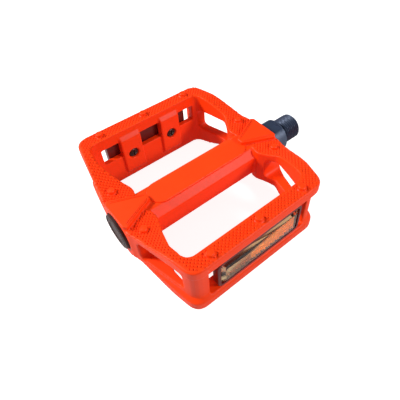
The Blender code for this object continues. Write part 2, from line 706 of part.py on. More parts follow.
def make_screw(name, x, side, mat):
    """Pan-head screw with a driving cross, driven from inside the cage."""
    tip = BASE_BACK + SCREW_GRIP
    head = HEAD_SEAT - SCREW_HEAD_HEIGHT
    under = HEAD_SEAT - GAP / 2
    outline = [(0.0, head), (SCREW_HEAD_RADIUS * 0.7, head),
               (SCREW_HEAD_RADIUS, head + SMALL_CHAMFER), (SCREW_HEAD_RADIUS, under),
               (SCREW_SHANK_RADIUS, under), (SCREW_SHANK_RADIUS, tip - SMALL_CHAMFER),
               (SCREW_SHANK_RADIUS * 0.5, tip), (0.0, tip)]
    bm = bmesh.new()
    verts = [bm.verts.new((x + r, side * y, 0)) for r, y in outline]
    edges = [bm.edges.new((a, b)) for a, b in zip(verts, verts[1:])]
    bmesh.ops.spin(bm, geom=verts + edges, cent=(x, 0, 0), axis=(0, 1, 0), angle=2 * math.pi,
                   steps=20, use_merge=True)
    screw = finished(name, bm, mat, smooth=True)
    long, wide = SCREW_HEAD_RADIUS * 0.6, SCREW_CROSS / 2
    quarter = [(long, wide), (wide, wide), (wide, long)]
    cross = []
    for _ in range(4):
        cross += quarter
        quarter = [(-w, u) for u, w in quarter]
    cross = [(x + u, w) for u, w in cross]
    bm = bmesh.new()
    plate_into(bm, cross, cross, side * (head - OVER), side * (head + SCREW_CROSS_DEPTH))
    boolean(screw, finished(f"{name}_cross_tool", bm))


# ---------------------------------------------------------------- assembly

clear_scene()
FRAME = bpy.data.objects.new("pedal_frame", None)
FRAME.location = (-SHOULDER_X, 0, 0)
bpy.context.scene.collection.objects.link(FRAME)

orange = material("orange_plastic", (0.9, 0.06, 0.01), 0.42)
axle_steel = material("blued_steel", (0.07, 0.09, 0.13), 0.4, 0.8)
bearing_steel = material("bearing_steel", (0.6, 0.6, 0.62), 0.2, 1.0)
cap_plastic = material("dark_plastic", (0.06, 0.03, 0.03), 0.5)
base_plastic = material("dark_red_plastic", (0.1, 0.01, 0.01), 0.4)
amber = material("amber_lens", (0.9, 0.3, 0.02), 0.15)
screw_steel = material("black_steel", (0.05, 0.04, 0.04), 0.4, 0.7)
seal_rubber = material("black_rubber", (0.03, 0.03, 0.03), 0.7)

make_cage(orange)
make_spindle(axle_steel)
make_cup("outboard_cup", OUTBOARD_BALL_X, OUTBOARD_PITCH, OUTBOARD_CUP_RADIUS, -1, bearing_steel)
make_cup("inboard_cup", INBOARD_BALL_X, INBOARD_PITCH, INBOARD_CUP_RADIUS, 1, bearing_steel)
make_balls("outboard_ball", OUTBOARD_BALLS, OUTBOARD_BALL_X, OUTBOARD_PITCH, bearing_steel)
make_balls("inboard_ball", INBOARD_BALLS, INBOARD_BALL_X, INBOARD_PITCH, bearing_steel)
cone_tail = make_cone(bearing_steel)
washer_face = make_washer(cone_tail - GAP, bearing_steel)
make_nut(washer_face - GAP, bearing_steel)
make_seal(seal_rubber)
make_cap(cap_plastic)
make_reflector("front", -1, base_plastic, amber, screw_steel)
make_reflector("rear", 1, base_plastic, amber, screw_steel)
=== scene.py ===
# %% [markdown]
# # Flat pedal: the looks
#
# The CAD model gives every piece its place and size. This script loads it as a fixed frame and
# builds finished pieces over it: rounded mouldings, a real knurl, a cut thread and prismatic
# reflectors. Nothing here moves a CAD piece. Lengths are in metres, written as millimetres
# times MM.

# %% Load the frame
import math

import bmesh
import bpy
from mathutils import Matrix, Vector
from mathutils.bvhtree import BVHTree


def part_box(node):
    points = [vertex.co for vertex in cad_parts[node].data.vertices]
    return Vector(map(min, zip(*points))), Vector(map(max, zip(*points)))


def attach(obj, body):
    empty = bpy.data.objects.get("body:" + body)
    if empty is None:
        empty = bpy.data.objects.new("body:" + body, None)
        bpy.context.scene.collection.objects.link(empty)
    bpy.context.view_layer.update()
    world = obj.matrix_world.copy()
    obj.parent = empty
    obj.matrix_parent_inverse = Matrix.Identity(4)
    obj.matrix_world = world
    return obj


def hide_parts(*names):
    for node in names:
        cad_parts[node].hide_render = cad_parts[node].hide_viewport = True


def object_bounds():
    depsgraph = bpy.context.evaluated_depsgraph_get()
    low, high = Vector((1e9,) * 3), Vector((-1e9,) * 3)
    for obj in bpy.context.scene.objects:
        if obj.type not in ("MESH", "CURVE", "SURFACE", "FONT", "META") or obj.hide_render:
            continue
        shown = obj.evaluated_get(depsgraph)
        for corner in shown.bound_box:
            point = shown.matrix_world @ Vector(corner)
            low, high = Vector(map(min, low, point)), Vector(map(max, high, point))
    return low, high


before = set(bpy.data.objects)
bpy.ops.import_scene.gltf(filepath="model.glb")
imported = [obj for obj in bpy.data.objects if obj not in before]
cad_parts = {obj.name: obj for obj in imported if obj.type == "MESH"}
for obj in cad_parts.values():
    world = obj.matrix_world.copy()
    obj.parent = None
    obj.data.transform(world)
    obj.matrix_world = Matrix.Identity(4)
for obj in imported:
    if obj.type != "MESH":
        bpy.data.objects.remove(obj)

MM = 0.001
scene = bpy.context.scene
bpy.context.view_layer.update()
body_low, body_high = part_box("pedal_body")
OUTER_FACE = body_low.x            # outer boss face
INNER_FACE = body_high.x           # inboard boss face
OUTER_END = 45 * MM                # outer boss face to the middle rim pins
MIDDLE = OUTER_FACE + OUTER_END    # plane of the middle rim pins
MERGE = 1e-7                       # points nearer than this become one

# %% [markdown]
# ## Meshes
#
# Three ways of making a solid cover nearly everything here: spinning a section about an axis,
# joining a stack of outlines, and keeping the CAD mesh but rounding its edges. `keep` then gives a
# piece its material, hangs it on the body it rides on and hides the CAD nodes it stands for.

# %% Mesh helpers


def write_mesh(name, bm, angle=35):
    bmesh.ops.recalc_face_normals(bm, faces=bm.faces)
    mesh = bpy.data.meshes.new(name)
    bm.to_mesh(mesh)
    bm.free()
    mesh.shade_smooth()
    mesh.set_sharp_from_angle(angle=math.radians(angle))
    obj = bpy.data.objects.new(name, mesh)
    scene.collection.objects.link(obj)
    return obj


def spun(points, axis, steps, closed=False):
    """Spins a line of points, or a closed loop of them, about an axis through the origin."""
    bm = bmesh.new()
    verts = [bm.verts.new(point) for point in points]
    following = verts[1:] + verts[:1] if closed else verts[1:]
    edges = [bm.edges.new(pair) for pair in zip(verts, following)]
    bmesh.ops.spin(bm, geom=verts + edges, cent=(0, 0, 0), axis=axis, angle=2 * math.pi,
                   steps=steps, use_merge=True)
    bmesh.ops.remove_doubles(bm, verts=bm.verts, dist=MERGE)
    return bm


def turned(name, profile):
    """Spins a closed loop of (x, radius) points about the spindle's axis."""
    bm = spun([(x, 0, r) for x, r in profile], (1, 0, 0), 96, closed=True)
    bmesh.ops.dissolve_degenerate(bm, edges=bm.edges, dist=MERGE)
    return write_mesh(name, bm, 25)


def stacked(name, rings, angle):
    """Joins rings of points, each with the same count, and closes both ends."""
    bm = bmesh.new()
    loops = [[bm.verts.new(point) for point in ring] for ring in rings]
    bm.faces.new(loops[0])
    bm.faces.new(loops[-1])
    for low, high in zip(loops, loops[1:]):
        for i in range(len(low)):
            j = (i + 1) % len(low)
            bm.faces.new((low[i], low[j], high[j], high[i]))
    return write_mesh(name, bm, angle)


def settle(obj):
    """Turns an object's modifiers into a plain mesh."""
    evaluated = obj.evaluated_get(bpy.context.evaluated_depsgraph_get())
    mesh = bpy.data.meshes.new_from_object(evaluated)
    obj.modifiers.clear()
    obj.data = mesh
    return obj


def keep(obj, body, material, nodes=()):
    obj.data.materials.clear()
    obj.data.materials.append(material)
    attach(obj, body)
    if nodes:
        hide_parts(*nodes)
    return obj


def discard(obj):
    bpy.data.objects.remove(obj, do_unlink=True)


# %% [markdown]
# ## Shared surface effects
#
# Moulded plastic, steel and rubber all show the same three things: a fine grain, paler worn edges
# and a little dust on faces that point up. Each is a node group built once, and every material
# sets only its amounts. All of them read object coordinates, so a finish stays with its piece
# as the pedal turns.

# %% Shader groups


def new_group(name, inputs, outputs):
    tree = bpy.data.node_groups.new(name, "ShaderNodeTree")
    for label, kind, value in inputs:
        socket = tree.interface.new_socket(label, in_out="INPUT", socket_type=kind)
        socket.default_value = value
    for label in outputs:
        tree.interface.new_socket(label, in_out="OUTPUT", socket_type="NodeSocketFloat")
    return tree, tree.nodes.new("NodeGroupInput"), tree.nodes.new("NodeGroupOutput")


def feed(tree, socket, value):
    """Links a socket to another node's output, or sets it to a number or a colour."""
    if isinstance(value, bpy.types.NodeSocket):
        tree.links.new(value, socket)
    elif isinstance(value, tuple):
        socket.default_value = (*value, 1)
    else:
        socket.default_value = value


def math_node(tree, operation, a, b, clamp=False):
    node = tree.nodes.new("ShaderNodeMath")
    node.operation = operation
    node.use_clamp = clamp
    feed(tree, node.inputs[0], a)
    feed(tree, node.inputs[1], b)
    return node.outputs[0]


def noise(tree, scale, detail):
    node = tree.nodes.new("ShaderNodeTexNoise")
    feed(tree, node.inputs["Detail"], detail)
    feed(tree, node.inputs["Scale"], scale)
    position = tree.nodes.new("ShaderNodeTexCoord").outputs["Object"]
    feed(tree, node.inputs["Vector"], position)
    return node.outputs["Fac"]


RIDGE_START, RIDGE_GAIN = 0.53, 9.0    # pointiness where wear starts, and how fast it grows
UPWARD_POWER = 3.0                     # how quickly dust fades as a face tilts

grain_group, source, sink = new_group(
    "moulded_grain", [("Scale", "NodeSocketFloat", 1500.0)], ["Fine", "Cloud"])
grain_group.links.new(noise(grain_group, source.outputs["Scale"], 3), sink.inputs["Fine"])
grain_group.links.new(noise(grain_group, 55.0, 4), sink.inputs["Cloud"])

wear_group, source, sink = new_group(
    "edge_wear", [("Amount", "NodeSocketFloat", 0.5)], ["Wear"])
pointiness = wear_group.nodes.new("ShaderNodeNewGeometry").outputs["Pointiness"]
ridge = math_node(wear_group, "MULTIPLY",
                  math_node(wear_group, "SUBTRACT", pointiness, RIDGE_START), RIDGE_GAIN,
                  clamp=True)
broken = math_node(wear_group, "MULTIPLY", ridge, noise(wear_group, 420.0, 4))
wear_group.links.new(math_node(wear_group, "MULTIPLY", broken, source.outputs["Amount"],
                               clamp=True), sink.inputs["Wear"])

dust_group, source, sink = new_group(
    "settled_dust", [("Amount", "NodeSocketFloat", 0.1)], ["Dust"])
split = dust_group.nodes.new("ShaderNodeSeparateXYZ")
dust_group.links.new(dust_group.nodes.new("ShaderNodeTexCoord").outputs["Normal"],
                     split.inputs[0])
upward = math_node(dust_group, "POWER",
                   math_node(dust_group, "MAXIMUM", split.outputs["Z"], 0.0), UPWARD_POWER)
patchy = math_node(dust_group, "MULTIPLY", upward, noise(dust_group, 160.0, 5))
dust_group.links.new(math_node(dust_group, "MULTIPLY", patchy, source.outputs["Amount"],
                               clamp=True), sink.inputs["Dust"])
print("shader groups:", grain_group.name, wear_group.name, dust_group.name)

# %% [markdown]
# ## Finishes
#
# One recipe makes every finish. The cloud noise drifts between a light and a dark tone of the
# colour, worn edges go paler, dust greys and dulls, and the fine grain roughens the surface. The
# cage's orange is a saturated pigment with very little green, so it keeps its red in the shade.
# The prisms also carry a little painted glow, standing in for the light that real corner prisms
# send back, which a renderer finds too rarely to show.

# %% Materials


GRAIN_ROUGHNESS = 0.12              # spread of roughness that the grain gives
DUST_ROUGHNESS = 0.5                # roughness added where dust lies
GRAIN_DEPTH, BUMP_GAIN = 0.02 * MM, 10
DUST_COLOUR = (0.45, 0.40, 0.36)


def mix_colour(tree, factor, a, b):
    node = tree.nodes.new("ShaderNodeMix")
    node.data_type = "RGBA"
    feed(tree, node.inputs[0], factor)
    feed(tree, node.inputs[6], a)
    feed(tree, node.inputs[7], b)
    return node.outputs[2]


def finish(name, light, dark, roughness, metallic=0.0, grain=1500.0, bump=0.02, worn=None,
           wear=0.4, dust=0.08, transmission=0.0, ior=1.5, specular=0.5, painted_glow=0.0):
    mat = bpy.data.materials.new(name)
    mat.use_nodes = True
    tree = mat.node_tree
    shader = tree.nodes["Principled BSDF"]
    groups = {}
    for tree_used in (grain_group, wear_group, dust_group):
        groups[tree_used.name] = tree.nodes.new("ShaderNodeGroup")
        groups[tree_used.name].node_tree = tree_used
    groups["moulded_grain"].inputs["Scale"].default_value = grain
    groups["edge_wear"].inputs["Amount"].default_value = wear
    groups["settled_dust"].inputs["Amount"].default_value = dust
    fine = groups["moulded_grain"].outputs["Fine"]
    cloud = groups["moulded_grain"].outputs["Cloud"]
    worn_edge = groups["edge_wear"].outputs["Wear"]
    dusty = groups["settled_dust"].outputs["Dust"]
    colour = mix_colour(tree, cloud, dark, light)
    colour = mix_colour(tree, worn_edge, colour, worn or light)
    colour = mix_colour(tree, dusty, colour, DUST_COLOUR)
    tree.links.new(colour, shader.inputs["Base Color"])
    rough = math_node(tree, "ADD", math_node(tree, "MULTIPLY", fine, GRAIN_ROUGHNESS),
                      roughness - GRAIN_ROUGHNESS / 2)
    rough = math_node(tree, "ADD", rough, math_node(tree, "MULTIPLY", dusty, DUST_ROUGHNESS),
                      clamp=True)
    tree.links.new(rough, shader.inputs["Roughness"])
    relief = tree.nodes.new("ShaderNodeBump")
    relief.inputs["Strength"].default_value = bump * BUMP_GAIN
    relief.inputs["Distance"].default_value = GRAIN_DEPTH
    tree.links.new(fine, relief.inputs["Height"])
    tree.links.new(relief.outputs["Normal"], shader.inputs["Normal"])
    shader.inputs["Metallic"].default_value = metallic
    shader.inputs["Transmission Weight"].default_value = transmission
    shader.inputs["IOR"].default_value = ior
    shader.inputs["Specular IOR Level"].default_value = specular
    # Emission in the surface's own colour: a painted glow, off unless a finish sets a strength.
    tree.links.new(colour, shader.inputs["Emission Color"])
    shader.inputs["Emission Strength"].default_value = painted_glow
    return mat


orange = finish("orange_plastic", (0.96, 0.052, 0.0015), (0.90, 0.040, 0.0010), 0.46,
                worn=(1.0, 0.12, 0.03), wear=0.25, dust=0.0, specular=0.22)
blued = finish("blued_steel", (0.042, 0.062, 0.115), (0.024, 0.036, 0.068), 0.42, 0.35, 2200.0,
               worn=(0.16, 0.20, 0.28), wear=0.5, dust=0.0)
ground_steel = finish("ground_steel", (0.56, 0.56, 0.58), (0.42, 0.42, 0.44), 0.26, 1.0, 2600.0)
polished = finish("polished_steel", (0.76, 0.76, 0.78), (0.66, 0.66, 0.68), 0.12, 1.0, 3000.0,
                  bump=0.004)
rubber = finish("seal_rubber", (0.035, 0.033, 0.033), (0.018, 0.017, 0.017), 0.72, dust=0.15)
cap_plastic = finish("cap_plastic", (0.040, 0.016, 0.014), (0.022, 0.008, 0.007), 0.45,
                     worn=(0.10, 0.05, 0.04), dust=0.0, specular=0.3)
maroon = finish("reflector_base", (0.130, 0.008, 0.006), (0.080, 0.004, 0.003), 0.30,
                worn=(0.20, 0.03, 0.02), dust=0.0, specular=0.3)
screw_black = finish("screw_steel", (0.060, 0.028, 0.024), (0.028, 0.012, 0.010), 0.34, 0.6,
                     worn=(0.22, 0.16, 0.14))
amber = finish("amber_lens", (1.0, 0.80, 0.45), (1.0, 0.68, 0.32), 0.06, bump=0.002, wear=0.0,
               dust=0.0, transmission=1.0, ior=1.45)
# Both prism finishes glow: painted light standing in for the light real corner prisms send back.
prism_amber = finish("amber_prisms", (1.0, 0.42, 0.02), (1.0, 0.26, 0.008), 0.34, 0.0,
                     wear=0.0, dust=0.0, specular=0.3, painted_glow=0.35)
prism_pale = finish("pale_prisms", (0.80, 0.22, 0.12), (0.46, 0.07, 0.03), 0.20, 0.1,
                    wear=0.0, dust=0.0, specular=0.6, painted_glow=0.12)
print("materials:", len(bpy.data.materials))

# %% [markdown]
# ## The cage
#
# A moulding has no sharp edge. Bevelling a boolean mesh leaves spikes where faces are thin, and a
# voxel remesh has no such trouble: it rebuilds the skin at an even spacing, a few rounds of
# smoothing then soften every edge, and a decimation drops the triangles that flat faces
# don't need.

# %% Rounded cage
VOXEL = 0.42 * MM
CAGE_TRIANGLES = 150000


def rounded_from(node, name):
    bm = bmesh.new()
    bm.from_mesh(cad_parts[node].data)
    bmesh.ops.remove_doubles(bm, verts=bm.verts, dist=1e-6)
    obj = write_mesh(name, bm)
    remesh = obj.modifiers.new("remesh", "REMESH")
    remesh.mode = "VOXEL"
    remesh.voxel_size = VOXEL
    remesh.adaptivity = 0.0
    smooth = obj.modifiers.new("smooth", "SMOOTH")
    smooth.factor = 0.5
    smooth.iterations = 4
    settle(obj)
    count = sum(len(face.vertices) - 2 for face in obj.data.polygons)
    thin = obj.modifiers.new("thin", "DECIMATE")
    thin.ratio = min(1.0, CAGE_TRIANGLES / count)
    settle(obj)
    obj.data.shade_smooth()
    return obj


cage = rounded_from("pedal_body", "moulded_cage")
keep(cage, "cage", orange, ["pedal_body"])
print("cage:", len(cage.data.polygons), "faces")

# %% [markdown]
# ## Things that repeat
#
# The knurl, grip pins, prisms, screws and balls are each one small pattern set many times over.
# A single Geometry Nodes tree does it: it puts the pattern on every point of a mesh, turned so
# that the pattern's Z follows the point's own direction. Real pyramids are worth their triangles
# on the knurl, because a bump map would leave the treads' outlines smooth.

# %% Pattern tree
scatter = bpy.data.node_groups.new("pattern_on_points", "GeometryNodeTree")
scatter_sockets = {}
for label, kind in (("Geometry", "NodeSocketGeometry"), ("Pattern", "NodeSocketObject"),
                    ("Material", "NodeSocketMaterial")):
    scatter_sockets[label] = scatter.interface.new_socket(label, in_out="INPUT",
                                                          socket_type=kind).identifier
scatter.interface.new_socket("Geometry", in_out="OUTPUT", socket_type="NodeSocketGeometry")
start = scatter.nodes.new("NodeGroupInput")
stop = scatter.nodes.new("NodeGroupOutput")
points = scatter.nodes.new("GeometryNodeMeshToPoints")
pattern = scatter.nodes.new("GeometryNodeObjectInfo")
facing = scatter.nodes.new("GeometryNodeInputNamedAttribute")
align = scatter.nodes.new("FunctionNodeAlignRotationToVector")
place = scatter.nodes.new("GeometryNodeInstanceOnPoints")
real = scatter.nodes.new("GeometryNodeRealizeInstances")
paint = scatter.nodes.new("GeometryNodeSetMaterial")
facing.data_type = "FLOAT_VECTOR"
facing.inputs["Name"].default_value = "facing"
align.axis = "Z"
for a, b in ((start.outputs["Geometry"], points.inputs["Mesh"]),
             (start.outputs["Pattern"], pattern.inputs["Object"]),
             (facing.outputs["Attribute"], align.inputs["Vector"]),
             (points.outputs["Points"], place.inputs["Points"]),
             (pattern.outputs["Geometry"], place.inputs["Instance"]),
             (align.outputs["Rotation"], place.inputs["Rotation"]),
             (place.outputs["Instances"], real.inputs["Geometry"]),
             (real.outputs["Geometry"], paint.inputs["Geometry"]),
             (start.outputs["Material"], paint.inputs["Material"]),
             (paint.outputs["Geometry"], stop.inputs["Geometry"])):
    scatter.links.new(a, b)


def repeat(name, places, pattern_object, material):
    """Sets the pattern on every (point, direction) and gives one plain mesh."""
    mesh = bpy.data.meshes.new(name)
    mesh.from_pydata([tuple(point) for point, _ in places], [], [])
    directions = mesh.attributes.new("facing", "FLOAT_VECTOR", "POINT")
    for item, (_, direction) in zip(directions.data, places):
        item.vector = direction
    obj = bpy.data.objects.new(name, mesh)
    scene.collection.objects.link(obj)
    modifier = obj.modifiers.new("pattern", "NODES")
    modifier.node_group = scatter
    modifier[scatter_sockets["Pattern"]] = pattern_object
    modifier[scatter_sockets["Material"]] = material
    settle(obj)
    discard(pattern_object)
    return obj


def pyramid(name, sides, base, tip, height, sunk):
    bm = bmesh.new()
    bmesh.ops.create_cone(bm, cap_ends=True, segments=sides, radius1=base, radius2=tip,
                          depth=height + sunk,
                          matrix=Matrix.Translation((0, 0, (height - sunk) / 2)))
    return write_mesh(name, bm, 20)


print("pattern tree inputs:", list(scatter_sockets))

# %% [markdown]
# ## Knurl
#
# Rays fall on both treads at the corners of a diamond lattice. A pyramid is kept only where the
# ray and its four neighbours all land on the tread surface itself, so the pins, the smooth boss
# panels, the rib and a narrow border along every edge stay plain.

# %% Diamond knurl
PITCH = 1.4 * MM                       # between knurl points along the diamonds' sides
KNURL_HEIGHT, KNURL_TIP, KNURL_SUNK = 0.72 * MM, 0.08 * MM, 0.12 * MM
KNURL_BASE = 0.68                      # of the pitch, centre of a pyramid to its corner
BORDER = 0.85 * MM                     # plain strip left along every edge
LATTICE_ALONG, LATTICE_ACROSS = 56, 58  # half-steps each way, enough to pass every edge
PIN_HEIGHT = 1.8 * MM
TREAD = body_high.z - PIN_HEIGHT
TREAD_ERROR = 0.16 * MM                # furthest a hit may be from the tread's own height
DIP_HEIGHT = 9.58 * MM                 # tread height over the spindle
DIP_START, DIP_STOP = 10.78 * MM, 40.0 * MM   # from the axis: the slope up to the rims
RAY_START = 0.1                        # rays start well clear of the pedal


def ray_tree(mesh):
    return BVHTree.FromPolygons([v.co for v in mesh.vertices],
                                [tuple(face.vertices) for face in mesh.polygons])


tread_tree = ray_tree(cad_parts["pedal_body"].data)
skin_tree = ray_tree(cage.data)


def landing(tree, x, y, side):
    return tree.ray_cast(Vector((x, y, side * RAY_START)), Vector((0, 0, -side)))[:2]


def tread_height(y):
    """Height of the tread: level along the rims, and dipped over the spindle."""
    t = min(max((abs(y) - DIP_START) / (DIP_STOP - DIP_START), 0.0), 1.0)
    return DIP_HEIGHT + (TREAD - DIP_HEIGHT) * (1 - math.cos(math.pi * t)) / 2


def on_tread(x, y, side):
    hit, _ = landing(tread_tree, x, y, side)
    return hit is not None and abs(side * hit.z - tread_height(y)) < TREAD_ERROR


knurl_places = []
step = PITCH / math.sqrt(2)
for i in range(-LATTICE_ALONG, LATTICE_ALONG + 1):
    for j in range(-LATTICE_ACROSS, LATTICE_ACROSS + 1):
        if (i + j) % 2:
            continue
        x, y = MIDDLE + i * step, j * step
        around = ((0, 0), (BORDER, 0), (-BORDER, 0), (0, BORDER), (0, -BORDER))
        for side in (1, -1):
            if all(on_tread(x + dx, y + dy, side) for dx, dy in around):
                hit, normal = landing(skin_tree, x, y, side)
                if hit is not None:
                    knurl_places.append((hit, normal))
knurl = repeat("tread_knurl", knurl_places,
               pyramid("knurl_pattern", 4, PITCH * KNURL_BASE, KNURL_TIP, KNURL_HEIGHT,
                       KNURL_SUNK), orange)
keep(knurl, "cage", orange)
print("knurl:", len(knurl_places), "pyramids")

# %% [markdown]
# ## Pins, rib pad and panel lines
#
# Rounding the whole moulding softens its small studs, so the grip pins are set again as crisp
# studs with a dished tip. The rib carries a thin flat pad with round ends, left blank, and each
# boss panel has a pair of fine lines along both slanting edges.

# %% Small moulded details
RIM_Y, RIM_STEP = 45 * MM, 26 * MM
END_PIN_Y, END_PIN_INSET = 14 * MM, 6.8 * MM
PAD_OUTER, PAD_INNER = 27 * MM, 31 * MM          # ends of the rib pad, from the middle
PAD_HALF, PAD_HALF_TOP = 6.6 * MM, 6.4 * MM      # half its width, at its sides and its top
PAD_FOOT, PAD_SIDE, PAD_TOP = 8.6 * MM, 9.55 * MM, 9.75 * MM
PAD_EDGE = 0.2 * MM
LINE_INSETS, LINE_WIDTH = (0.55 * MM, 1.45 * MM), 0.35 * MM
pin_spots = [(MIDDLE + k * RIM_STEP, side * RIM_Y) for k in (-1, 0, 1) for side in (-1, 1)]
pin_spots += [(x, side * END_PIN_Y) for x in (OUTER_FACE + END_PIN_INSET,
                                             INNER_FACE - END_PIN_INSET) for side in (-1, 1)]
pin_places = [((x, y, side * tread_height(y)), (0, 0, side))
              for x, y in pin_spots for side in (1, -1)]
pin_section = [(0.0, -0.5), (2.35, -0.5), (2.35, 0.05), (2.0, 0.35), (1.85, 0.8), (1.75, 1.55),
               (1.5, 1.8), (1.05, 1.8), (0.8, 1.45), (0.0, 1.35)]
bm = spun([(radius * MM, 0, z * MM) for radius, z in pin_section], (0, 0, 1), 32)
pins = repeat("grip_pins", pin_places, write_mesh("pin_pattern", bm, 25), orange)
keep(pins, "cage", orange)


def stadium(z, x0, x1, half, steps=16):
    ring = []
    for centre, first in ((x1 - half, -90), (x0 + half, 90)):
        for k in range(steps + 1):
            angle = math.radians(first + 180 * k / steps)
            ring.append((centre + half * math.cos(angle), half * math.sin(angle), z))
    return ring


for side, label in ((1, "upper"), (-1, "lower")):
    x0, x1 = MIDDLE - PAD_OUTER, MIDDLE + PAD_INNER
    pad = stacked(f"{label}_rib_pad", [
        stadium(side * PAD_FOOT, x0, x1, PAD_HALF), stadium(side * PAD_SIDE, x0, x1, PAD_HALF),
        stadium(side * PAD_TOP, x0 + PAD_EDGE, x1 - PAD_EDGE, PAD_HALF_TOP)], 25)
    keep(pad, "cage", orange)

bar_low, bar_high = 11.2 * MM, 12.05 * MM
bm = bmesh.new()
for face, inward in ((OUTER_FACE, 1), (INNER_FACE, -1)):
    for inset in LINE_INSETS:
        for y_side in (-1, 1):
            root = Vector((face + inward * 16.5 * MM, y_side * (1.9 * MM - inset * 0.5)))
            tip = Vector((face + inward * 2.4 * MM, y_side * (8.6 * MM - inset)))
            along = (tip - root).normalized()
            turn = Matrix.Rotation(math.atan2(along.y, along.x), 4, "Z")
            middle = (root + tip) / 2
            for z_side in (-1, 1):
                z = z_side * (bar_low + bar_high) / 2
                bmesh.ops.create_cube(bm, size=1, matrix=Matrix.Translation((*middle, z)) @ turn
                                      @ Matrix.Diagonal(((tip - root).length, LINE_WIDTH,
                                                         bar_high - bar_low, 1)))
lines = write_mesh("panel_lines", bm)
rounder = lines.modifiers.new("round", "BEVEL")
rounder.width = 0.1 * MM
rounder.segments = 2
settle(lines)
keep(lines, "cage", orange)
print("pins:", len(pin_places), "lines:", len(lines.data.polygons), "faces")

# %% [markdown]
# ## Spindle
#
# The whole spindle is one skin, a radius that depends on the place along the axis and on the angle
# about it. A constant gives the shafts, a limit of 7.5 mm over the sine gives the wrench flats,
# and a phase that runs once round per pitch gives a helix. The 9/16 inch thread has 20 turns
# to the inch. The groove beside the shoulder, where a cutting tool runs out, is shown here only.

# %% Spindle with its thread
THREAD_PITCH = 1.27 * MM
CREST, ROOT = 7.10 * MM, 6.36 * MM
COLLAR_RADIUS, HALF_FLATS = 9.0 * MM, 7.5 * MM
RELIEF = 1.3 * MM                      # length of the groove beside the shoulder
THREAD_STEPS, AROUND = 110, 120        # rings along the thread, and points round each ring
spindle_low, spindle_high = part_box("spindle")
collar_start = INNER_FACE + 1.6 * MM


def thread_radius(x, angle, crest, root, pitch, end):
    phase = (x / pitch - angle / (2 * math.pi)) % 1.0
    flank = min(max(abs(2 * phase - 1) * 1.3 - 0.15, 0.0), 1.0)
    radius = root + (crest - root) * flank
    return min(radius, crest - max(0.0, x - (end - 1.2 * MM)))


def spindle_radius(x, angle, shaft):
    if shaft == "crank thread":
        return thread_radius(x, angle, CREST, ROOT, THREAD_PITCH, spindle_high.x)
    if shaft == "flats":
        return min(COLLAR_RADIUS, HALF_FLATS / max(abs(math.cos(angle)), 1e-6))
    return shaft


stations = [(spindle_low.x, 3.0 * MM), (spindle_low.x + 0.5 * MM, 3.5 * MM),
            (spindle_low.x + 17.5 * MM, 3.5 * MM), (spindle_low.x + 18.0 * MM, 4.0 * MM),
            (INNER_FACE - 15.0 * MM, 4.35 * MM), (INNER_FACE - 9.0 * MM, 4.6 * MM),
            (INNER_FACE - 7.4 * MM, 5.4 * MM), (INNER_FACE - 6.0 * MM, 6.7 * MM),
            (collar_start - 0.5 * MM, 6.7 * MM), (collar_start, 8.5 * MM),
            (collar_start + 0.5 * MM, COLLAR_RADIUS), (collar_start + 1.0 * MM, COLLAR_RADIUS)]
stations += [(collar_start + 1.0 * MM, "flats"), (-1.0 * MM, "flats")]
stations += [(-1.0 * MM, COLLAR_RADIUS), (-0.5 * MM, COLLAR_RADIUS), (0.0, 8.5 * MM),
             (0.0, ROOT), (RELIEF, ROOT)]
stations += [(RELIEF + (spindle_high.x - RELIEF) * k / THREAD_STEPS, "crank thread")
             for k in range(1, THREAD_STEPS + 1)]
stations += [(spindle_high.x, 4.2 * MM), (spindle_high.x - 0.5 * MM, 3.6 * MM)]
rings = []
for x, shaft in stations:
    ring = []
    for k in range(AROUND):
        angle = 2 * math.pi * k / AROUND
        radius = spindle_radius(x, angle, shaft)
        ring.append((x, radius * math.sin(angle), radius * math.cos(angle)))
    rings.append(ring)
spindle = stacked("threaded_spindle", rings, 32)
keep(spindle, "axle", blued, ["spindle"])
print("spindle:", len(spindle.data.polygons), "faces")

# %% [markdown]
# ## Cap and seal
#
# The cap is a flat disc with a crisp edge and a shallow ring moulded in its face, which keeps it
# from looking like a bare cylinder. The seal has two lips with a groove between them.

# %% Turned plastic and rubber
cap_low, cap_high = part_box("end_cap")
cap_radius = cap_high.z
face_x = cap_low.x
cap = turned("dust_cap", [
    (face_x + 0.35 * MM, 0.0), (face_x + 0.35 * MM, cap_radius - 3.6 * MM),
    (face_x + 0.05 * MM, cap_radius - 3.3 * MM), (face_x + 0.05 * MM, cap_radius - 2.2 * MM),
    (face_x + 0.40 * MM, cap_radius - 1.9 * MM), (face_x + 0.40 * MM, cap_radius - 1.5 * MM),
    (face_x + 0.10 * MM, cap_radius - 1.2 * MM), (face_x + 0.15 * MM, cap_radius - 0.35 * MM),
    (face_x + 0.50 * MM, cap_radius), (cap_high.x, cap_radius),
    (cap_high.x, cap_radius - 1.4 * MM), (face_x + 3.6 * MM, cap_radius - 1.4 * MM),
    (face_x + 3.6 * MM, 0.0)])
keep(cap, "cage", cap_plastic, ["end_cap"])

seal_low, seal_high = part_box("inner_dust_seal")
seal_outer = seal_high.z
lip = 7.4 * MM
seal = turned("lip_seal", [
    (seal_low.x, lip + 0.6 * MM), (seal_low.x, seal_outer), (seal_high.x, seal_outer),
    (seal_high.x, seal_outer - 0.5 * MM), (seal_high.x - 0.35 * MM, seal_outer - 0.7 * MM),
    (seal_high.x - 0.35 * MM, lip + 0.7 * MM), (seal_high.x, lip + 0.5 * MM),
    (seal_high.x, lip + 0.2 * MM), (seal_high.x - 0.7 * MM, lip)])
keep(seal, "cage", rubber, ["inner_dust_seal"])
print("cap and seal:", len(cap.data.polygons), len(seal.data.polygons), "faces")

# %% [markdown]
# ## Bearings
#
# The cups, cone, washer and nut are ground steel and sit inside the cage, so their CAD meshes are
# kept and only get a finish. The balls are worth replacing: facets show at once on a mirror finish.

